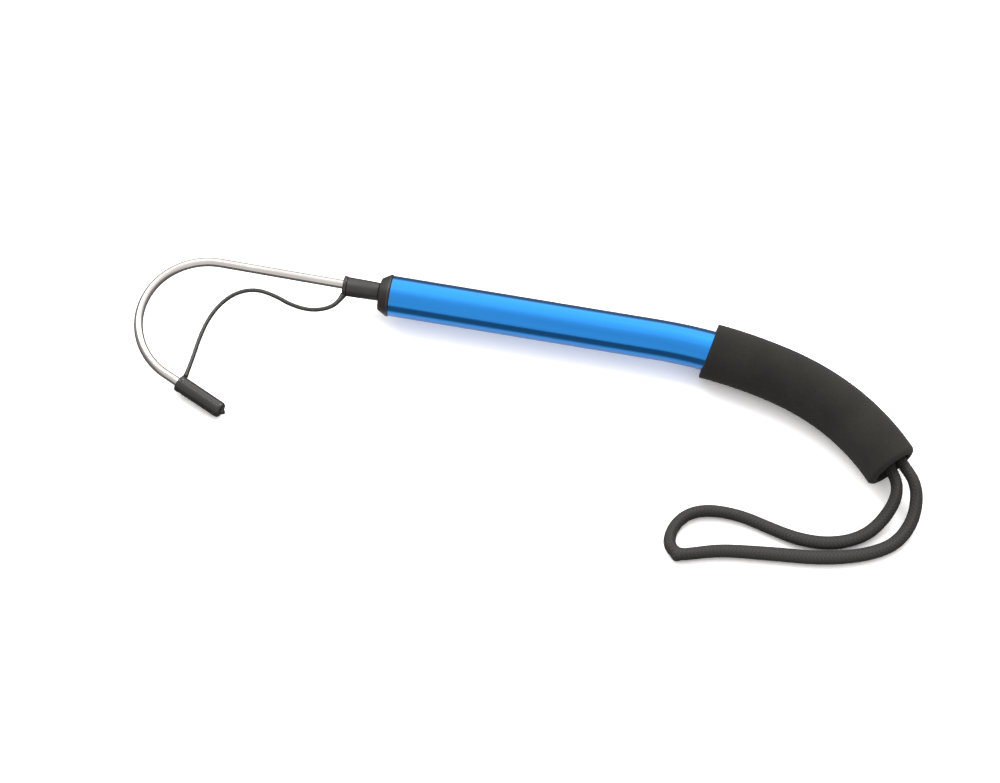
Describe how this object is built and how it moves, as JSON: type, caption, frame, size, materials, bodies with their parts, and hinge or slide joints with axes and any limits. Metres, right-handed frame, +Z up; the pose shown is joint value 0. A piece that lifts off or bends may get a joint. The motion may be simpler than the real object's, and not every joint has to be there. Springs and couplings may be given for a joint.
{
  "type": "telescopic fishing gaff",
  "caption": "Hand gaff: steel hook on a telescoping tube with a twist lock, curved foam grip, wrist lanyard and strapped tip guard.",
  "frame": {"origin": "on the surface that the gaff lies on, under the middle of its outline, the cords left out", "axes": "+X along the straight handle from the hook to the butt, +Z up from the surface, the grip bends and the hook opens to -Y"},
  "size_m": [0.4427, 0.1419, 0.031],
  "materials": {
    "anodised_tube": "glossy blue anodised",
    "inner_tube": "black anodised",
    "stainless_rod": "polished stainless steel",
    "steel_hardware": "plain steel",
    "black_nylon": "satin moulded",
    "soft_pvc": "smooth, slightly glossy",
    "black_rubber": "matte",
    "eva_foam": "matte closed-cell foam",
    "braided_cord": "fine braid",
    "natural_nylon": "natural moulded",
    "brass_wedge": "turned",
    "plug_aluminium": "turned"
  },
  "bodies": {
    "handle": {"outer_tube": "anodised_tube", "foam_grip": "eva_foam", "front_collar": "black_nylon", "collar_wiper": "black_rubber", "butt_cap": "black_nylon", "lanyard_knot": "braided_cord", "lanyard_cord": "braided_cord"},
    "lock_core": {"split_expander": "natural_nylon", "expander_ring": "black_rubber"},
    "lock_wedge": {"wedge_nut": "brass_wedge"},
    "inner_section": {"inner_tube": "inner_tube", "hook_socket": "black_nylon", "hook": "stainless_rod", "hook_pin": "steel_hardware", "strap_ring": "soft_pvc", "tip_strap": "soft_pvc", "tail_plug": "plug_aluminium", "plug_pin": "steel_hardware", "guide_bush": "natural_nylon", "bumper_ring": "black_rubber", "lock_stud": "steel_hardware", "stop_washer": "steel_hardware", "stop_nut": "steel_hardware"},
    "tip_guard": {"tip_guard": "soft_pvc"}
  },
  "joints": [
    {"name": "extend", "type": "slide", "parent": "handle", "child": "lock_core", "axis": [-1, 0, 0], "range_m": [0, 0.103]},
    {"name": "twist", "type": "hinge", "parent": "lock_core", "child": "inner_section", "pos_m": [-0.0812, 0.0375, 0.0155], "axis": [-1, 0, 0], "range_deg": [0, 180]},
    {"name": "wedge_travel", "type": "slide", "parent": "lock_core", "child": "lock_wedge", "axis": [1, 0, 0], "range_m": [0, 0.00125]},
    {"name": "guard_pull", "type": "slide", "parent": "inner_section", "child": "tip_guard", "axis": [0.9018, -0.4287, -0.0549], "range_m": [0, 0.035], "deforming": ["tip_strap"]}
  ],
  "couplings": [
    {"joint": "wedge_travel", "follows": "twist", "m_per_rad": 0.00039789}
  ]
}
